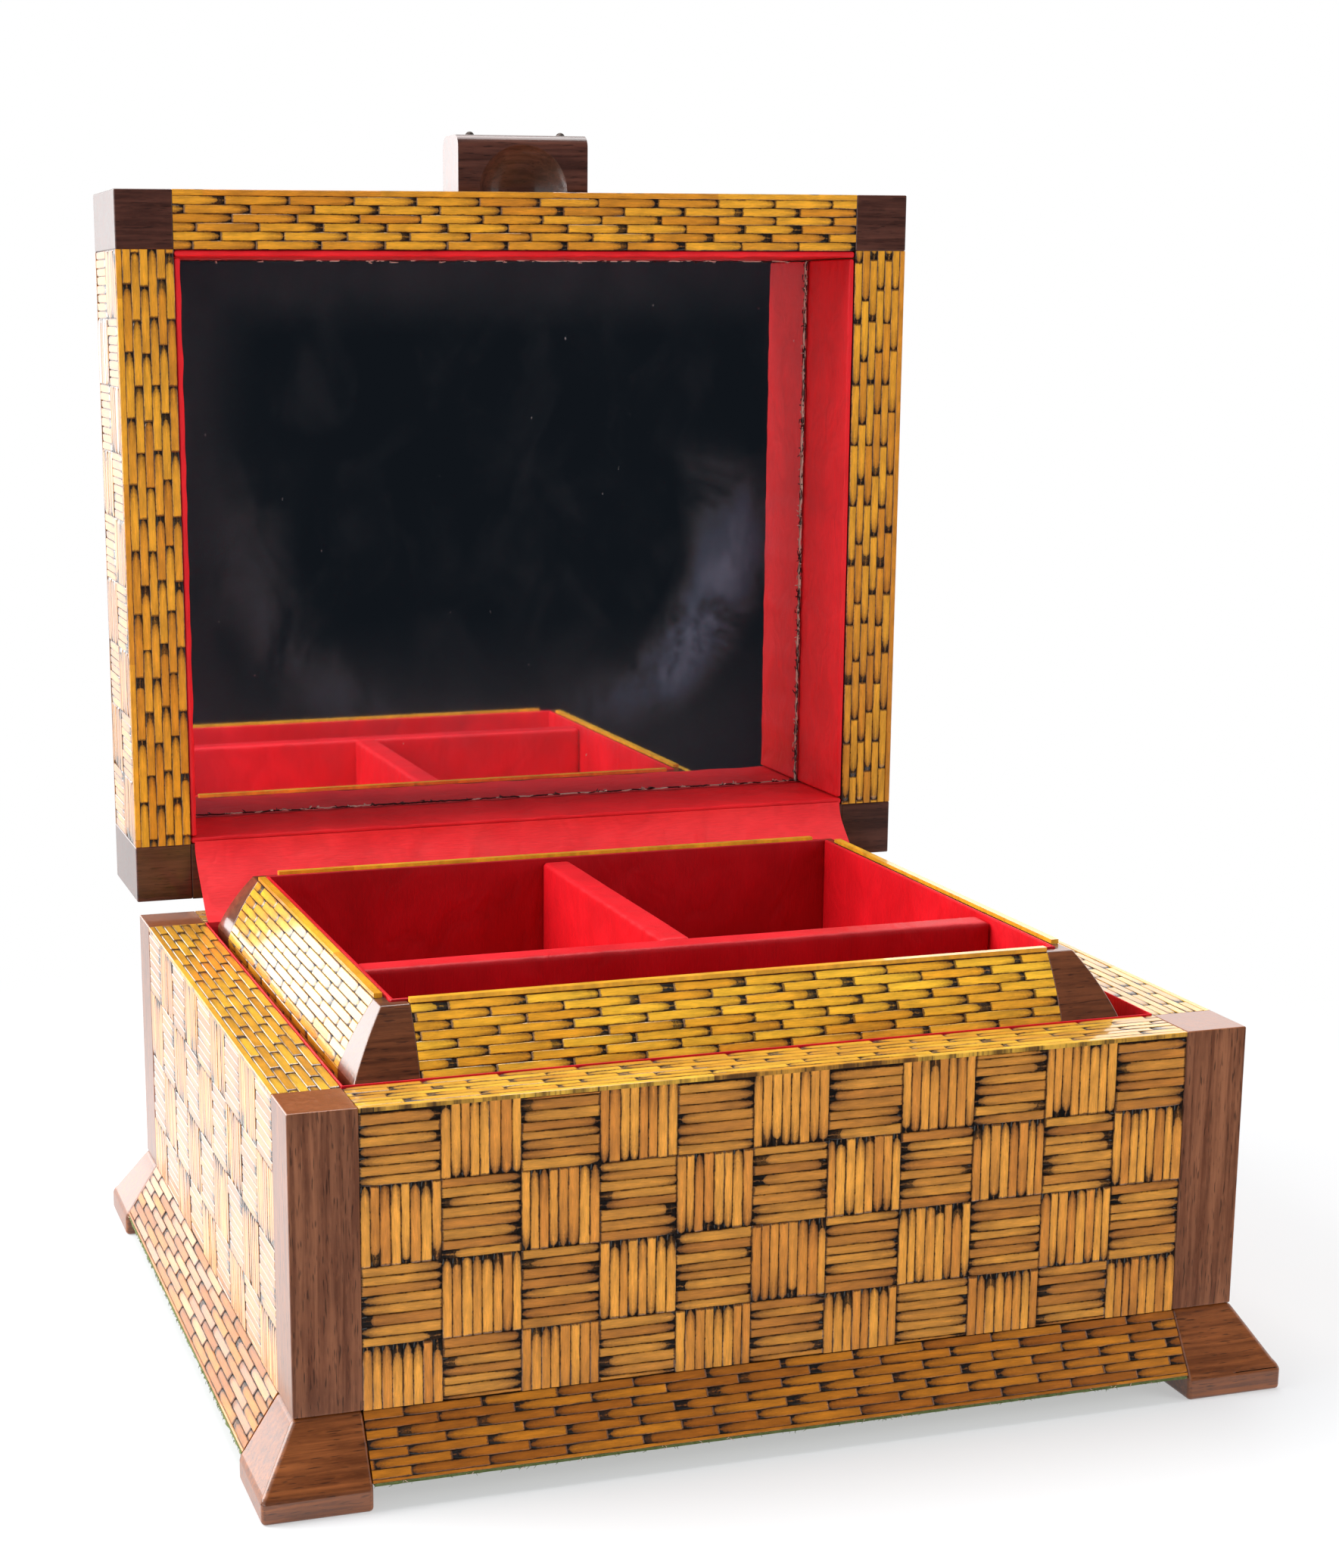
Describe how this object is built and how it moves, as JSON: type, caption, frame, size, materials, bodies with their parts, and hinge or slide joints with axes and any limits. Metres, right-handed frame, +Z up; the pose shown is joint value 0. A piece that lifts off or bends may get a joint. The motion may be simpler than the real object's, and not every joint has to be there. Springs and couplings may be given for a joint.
{
  "type": "keepsake box",
  "caption": "Hinged keepsake box with matchstick marquetry, hardwood corners and feet, a lift-out compartment tray and a mirror in the lid.",
  "frame": {"origin": "centre of the base's footprint, on the surface that the feet stand on", "axes": "+X to the right along the front, +Y to the back, +Z up; the lid is open at rest"},
  "size_m": [0.2622, 0.2576, 0.319],
  "materials": {
    "matchsticks": "varnished",
    "dark_wood": "varnished",
    "carcass_wood": "plain",
    "satin": "satin",
    "felt": "matt",
    "mirror": "polished, a little cloudy",
    "card": "plain",
    "brass": "brushed",
    "steel": "brushed"
  },
  "bodies": {
    "base": {"base_felt": "felt", "base_floor": "carcass_wood", "base_hinge_leaves": "brass", "base_hinge_screws": "brass", "base_lining": "satin", "base_marquetry_back": "matchsticks", "base_marquetry_front": "matchsticks", "base_marquetry_left": "matchsticks", "base_marquetry_right": "matchsticks", "base_post_back_left": "dark_wood", "base_post_back_right": "dark_wood", "base_post_front_left": "dark_wood", "base_post_front_right": "dark_wood", "base_rim_marquetry": "matchsticks", "base_wall_back": "carcass_wood", "base_wall_front": "carcass_wood", "base_wall_left": "carcass_wood", "base_wall_right": "carcass_wood", "foot_back_left": "dark_wood", "foot_back_right": "dark_wood", "foot_front_left": "dark_wood", "foot_front_right": "dark_wood", "hinge_cloth": "satin", "hinge_pins": "brass", "skirt_back": "matchsticks", "skirt_front": "matchsticks", "skirt_left": "matchsticks", "skirt_right": "matchsticks", "tray_ledges": "satin"},
    "lid": {"handle_pins": "steel", "lid_corner_fore_left": "dark_wood", "lid_corner_fore_right": "dark_wood", "lid_corner_rear_left": "dark_wood", "lid_corner_rear_right": "dark_wood", "lid_handle": "dark_wood", "lid_hinge_leaves": "brass", "lid_hinge_screws": "brass", "lid_lining_pads": "satin", "lid_mirror": "mirror", "lid_rail_fore": "carcass_wood", "lid_rail_left": "carcass_wood", "lid_rail_rear": "carcass_wood", "lid_rail_right": "carcass_wood", "lid_rim_marquetry": "matchsticks", "lid_side_marquetry": "matchsticks", "lid_top_board": "carcass_wood", "lid_top_marquetry": "matchsticks", "mirror_card": "card"},
    "tray": {"tray_corner_back_left": "dark_wood", "tray_corner_back_right": "dark_wood", "tray_corner_front_left": "dark_wood", "tray_corner_front_right": "dark_wood", "tray_cross_divider": "satin", "tray_floor": "carcass_wood", "tray_lining": "satin", "tray_long_divider": "satin", "tray_wall_back": "matchsticks", "tray_wall_front": "matchsticks", "tray_wall_left": "matchsticks", "tray_wall_right": "matchsticks"}
  },
  "joints": [
    {"name": "lid_hinge", "type": "hinge", "parent": "base", "child": "lid", "pos_m": [0, 0.1051, 0.0938], "axis": [-1, 0, 0], "range_deg": [-90, 0], "deforming": ["hinge_cloth"]},
    {"name": "tray_lift", "type": "slide", "parent": "base", "child": "tray", "axis": [0, 0, 1], "range_m": [0, 0.08]}
  ]
}
